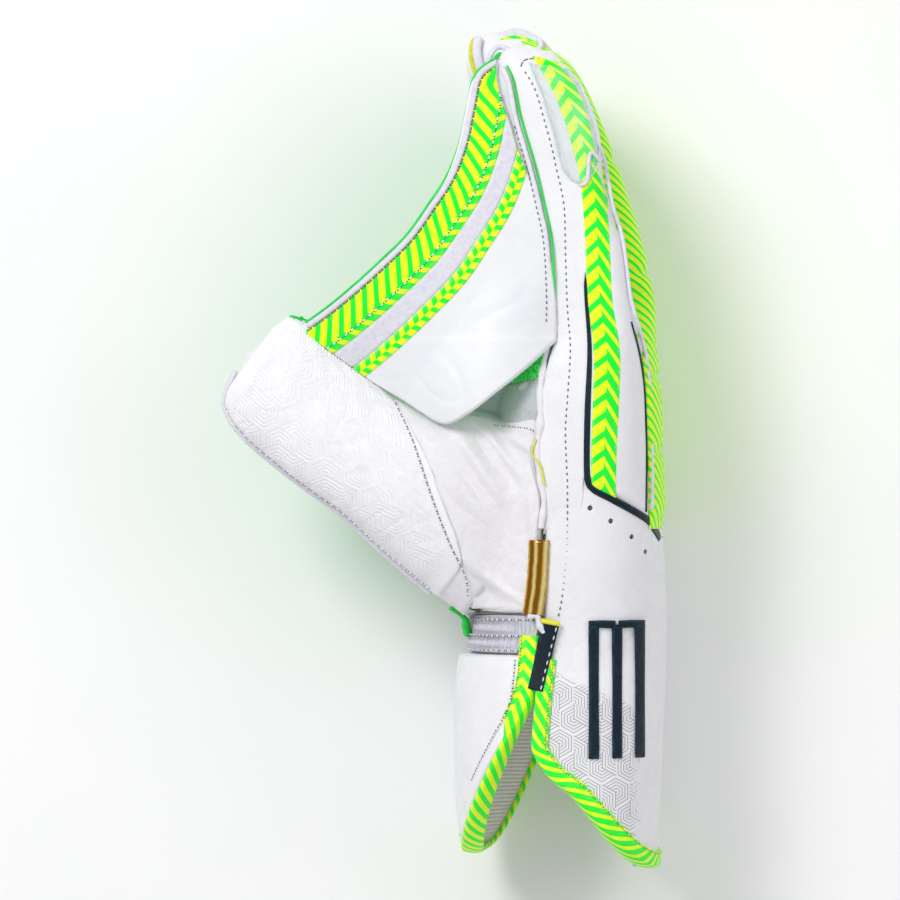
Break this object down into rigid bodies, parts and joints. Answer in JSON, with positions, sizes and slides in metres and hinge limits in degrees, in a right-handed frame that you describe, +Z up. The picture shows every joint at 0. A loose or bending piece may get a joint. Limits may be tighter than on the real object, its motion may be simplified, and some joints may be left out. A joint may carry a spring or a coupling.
{
  "type": "wicketkeeping glove",
  "caption": "Padded right-hand wicketkeeping glove with pimpled rubber palm, a leather web between thumb and index finger, and a flared two-flap cuff",
  "frame": {"origin": "centre of the bounding box, on the surface that the glove lies on", "axes": "+X to the back of the hand, +Y to the fingertips, +Z up to the thumb side"},
  "size_m": [0.1804, 0.3414, 0.1249],
  "materials": {
    "white_leather": "satin",
    "web_leather": "satin",
    "embossed_leather": "satin, embossed",
    "wrist_leather": "matte, ruched",
    "white_band": "woven tape",
    "green_rubber": "matte, pimpled",
    "chevron_tape": "printed green and yellow chevrons",
    "navy_leather": "satin",
    "clear_panel": "clear gloss",
    "gold_foil": "polished gold foil"
  },
  "bodies": {
    "root": {"back_shell": "white_leather", "palm_shell": "white_leather", "wrist_band": "wrist_leather", "palm_cuff": "white_leather", "thumb_stall": "white_leather", "thumb_panel": "embossed_leather", "thumb_facing": "green_rubber", "palm_facing": "green_rubber", "web": "web_leather", "web_facing": "green_rubber", "web_binding": "white_band", "web_tape": "chevron_tape", "web_strip": "chevron_tape", "side_welt": "white_band", "index_window": "clear_panel", "index_strip": "chevron_tape", "navy_outline": "navy_leather", "palm_cuff_binding": "chevron_tape", "back_cuff_binding": "chevron_tape", "gold_tag": "gold_foil", "navy_tag": "navy_leather", "cuff_emblem": "navy_leather", "index_ridge": "white_leather", "little_stall": "white_leather", "little_facing": "green_rubber", "little_ridge": "chevron_tape", "little_strip": "chevron_tape", "ring_stall": "white_leather", "ring_facing": "green_rubber", "ring_ridge": "chevron_tape", "ring_strip": "chevron_tape", "middle_stall": "white_leather", "middle_facing": "green_rubber", "middle_ridge": "chevron_tape", "middle_strip": "chevron_tape", "index_stall": "white_leather", "index_facing": "green_rubber"}
  },
  "joints": []
}
